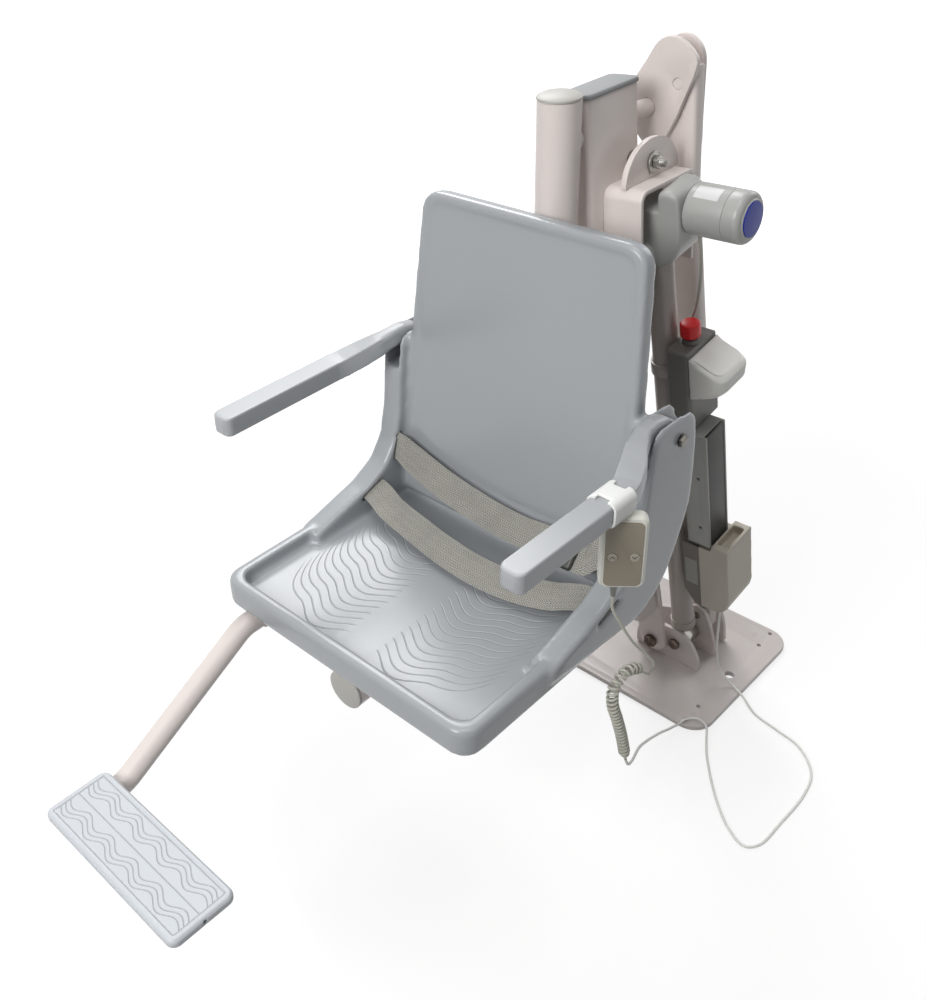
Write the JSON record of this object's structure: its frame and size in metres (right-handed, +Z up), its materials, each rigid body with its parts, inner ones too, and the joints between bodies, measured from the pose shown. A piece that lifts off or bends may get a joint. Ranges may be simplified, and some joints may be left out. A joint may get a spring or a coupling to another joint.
{
  "type": "pool lift",
  "caption": "Deck lift that swings a moulded chair over a pool: base plate, arm and link that keep the chair upright, electric ram, handset, belt, armrests, footrest.",
  "frame": {"origin": "the middle of the base plate's underside, where it lies on the deck", "axes": "+Z up, -Y is where the chair faces, the chair swings towards -X"},
  "size_m": [0.7296, 1.324, 1.1669],
  "materials": {
    "base_plate": "satin",
    "base_ear_near": "satin",
    "base_ear_far": "satin",
    "base_ear_back": "satin",
    "arm_pivot_bolt": "satin",
    "ram_pivot_bolt": "satin",
    "link_pivot_bolt": "satin",
    "arm_tube": "satin",
    "arm_cap": "matte",
    "arm_foot_plate": "satin",
    "yoke": "satin",
    "yoke_lug": "satin",
    "yoke_washer": "satin",
    "yoke_bolt": "satin",
    "rear_link": "satin",
    "seat_post": "satin",
    "post_cap_top": "matte",
    "post_cap_front": "matte",
    "cross_shaft": "satin",
    "fin_front": "satin",
    "fin_rear": "satin",
    "fin_pin": "satin",
    "ram_rod": "polished",
    "ram_tube": "satin",
    "gear_housing": "satin",
    "motor_can": "satin",
    "motor_end_cap": "satin",
    "control_box_upper": "matte",
    "control_cover": "matte",
    "stop_collar": "matte",
    "stop_button": "gloss",
    "battery_rail": "satin",
    "rail_strip": "matte",
    "control_box_lower": "matte",
    "contact_deck": "matte",
    "connector_stub": "matte",
    "ram_clamp": "matte",
    "seat_shell": "satin",
    "seat_bracket_front": "satin",
    "seat_bracket_rear": "satin",
    "back_bracket": "satin",
    "armrest_left": "satin",
    "armrest_right": "satin",
    "armrest_pin_left": "satin",
    "armrest_pin_right": "satin",
    "footrest_socket": "satin",
    "footrest_tube": "satin",
    "footrest_plate": "satin",
    "belt_long": "matte",
    "belt_lower": "matte",
    "belt_short": "matte",
    "buckle": "satin",
    "handset_body": "satin",
    "handset_key_up": "matte",
    "handset_key_down": "matte",
    "handset_clip": "satin",
    "cord_relief": "matte",
    "cord_lead": "satin",
    "cord_coil": "satin",
    "cord_tail": "satin"
  },
  "bodies": {
    "base": {"base_plate": "base_plate", "base_ear_near": "base_ear_near", "base_ear_far": "base_ear_far", "base_ear_back": "base_ear_back", "arm_pivot_bolt": "arm_pivot_bolt", "ram_pivot_bolt": "ram_pivot_bolt", "link_pivot_bolt": "link_pivot_bolt", "cord_tail": "cord_tail"},
    "arm": {"arm_tube": "arm_tube", "arm_cap": "arm_cap", "arm_foot_plate": "arm_foot_plate", "yoke": "yoke", "yoke_lug": "yoke_lug", "yoke_washer": "yoke_washer", "yoke_bolt": "yoke_bolt"},
    "carriage": {"seat_post": "seat_post", "post_cap_top": "post_cap_top", "post_cap_front": "post_cap_front", "cross_shaft": "cross_shaft", "fin_front": "fin_front", "fin_rear": "fin_rear", "fin_pin": "fin_pin", "seat_shell": "seat_shell", "seat_bracket_front": "seat_bracket_front", "seat_bracket_rear": "seat_bracket_rear", "back_bracket": "back_bracket", "footrest_socket": "footrest_socket", "armrest_pin_left": "armrest_pin_left", "armrest_pin_right": "armrest_pin_right", "belt_long": "belt_long", "belt_lower": "belt_lower", "belt_short": "belt_short", "buckle": "buckle", "cord_lead": "cord_lead", "cord_coil": "cord_coil"},
    "rear_link": {"rear_link": "rear_link"},
    "ram_rod": {"ram_rod": "ram_rod"},
    "ram": {"ram_tube": "ram_tube", "gear_housing": "gear_housing", "motor_can": "motor_can", "motor_end_cap": "motor_end_cap", "control_box_upper": "control_box_upper", "control_cover": "control_cover", "stop_collar": "stop_collar", "battery_rail": "battery_rail", "rail_strip": "rail_strip", "control_box_lower": "control_box_lower", "contact_deck": "contact_deck", "connector_stub": "connector_stub", "ram_clamp": "ram_clamp"},
    "stop_button": {"stop_button": "stop_button"},
    "armrest_left": {"armrest_left": "armrest_left", "handset_clip": "handset_clip", "handset_body": "handset_body", "cord_relief": "cord_relief"},
    "armrest_right": {"armrest_right": "armrest_right"},
    "handset_key_up": {"handset_key_up": "handset_key_up"},
    "handset_key_down": {"handset_key_down": "handset_key_down"},
    "footrest": {"footrest_tube": "footrest_tube", "footrest_plate": "footrest_plate"}
  },
  "joints": [
    {"name": "arm_swing", "type": "hinge", "parent": "base", "child": "arm", "pos_m": [0.072, -0.043, 0.048], "axis": [0, -1, 0], "range_deg": [0, 75]},
    {"name": "carriage_level", "type": "hinge", "parent": "arm", "child": "carriage", "pos_m": [0.002, -0.197, 1.063], "axis": [0, -1, 0], "range_deg": [-75, 0]},
    {"name": "link_swing", "type": "hinge", "parent": "base", "child": "rear_link", "pos_m": [0.12, 0.05, 0.088], "axis": [0, -1, 0], "range_deg": [0, 75]},
    {"name": "ram_swing", "type": "hinge", "parent": "base", "child": "ram_rod", "pos_m": [0.112, -0.001, 0.051], "axis": [0, -1, 0], "range_deg": [0, 73.2]},
    {"name": "ram_extend", "type": "slide", "parent": "ram_rod", "child": "ram", "axis": [-0.0347, -0.1806, 0.9829], "range_m": [0, 0.0471]},
    {"name": "stop_press", "type": "slide", "parent": "ram", "child": "stop_button", "axis": [0.0347, 0.1806, -0.9829], "range_m": [0, 0.004], "stiffness_N_per_m": 400},
    {"name": "armrest_left_lift", "type": "hinge", "parent": "carriage", "child": "armrest_left", "pos_m": [0.232, -0.339, 0.712], "axis": [-1, 0, 0], "range_deg": [0, 88]},
    {"name": "armrest_right_lift", "type": "hinge", "parent": "carriage", "child": "armrest_right", "pos_m": [-0.228, -0.339, 0.712], "axis": [-1, 0, 0], "range_deg": [0, 88]},
    {"name": "key_up_press", "type": "slide", "parent": "armrest_left", "child": "handset_key_up", "axis": [-0.6442, 0.7648, 0], "range_m": [0, 0.0015], "stiffness_N_per_m": 500},
    {"name": "key_down_press", "type": "slide", "parent": "armrest_left", "child": "handset_key_down", "axis": [-0.6442, 0.7648, 0], "range_m": [0, 0.0015], "stiffness_N_per_m": 500},
    {"name": "footrest_pull", "type": "slide", "parent": "carriage", "child": "footrest", "axis": [0, -1, 0], "range_m": [0, 0.12]}
  ],
  "couplings": [
    {"joint": "carriage_level", "follows": "arm_swing", "ratio": -1},
    {"joint": "link_swing", "follows": "arm_swing", "ratio": 1},
    {"joint": "ram_swing", "follows": "arm_swing", "ratio": 0.976},
    {"joint": "ram_extend", "follows": "arm_swing", "m_per_rad": 0.035982}
  ]
}
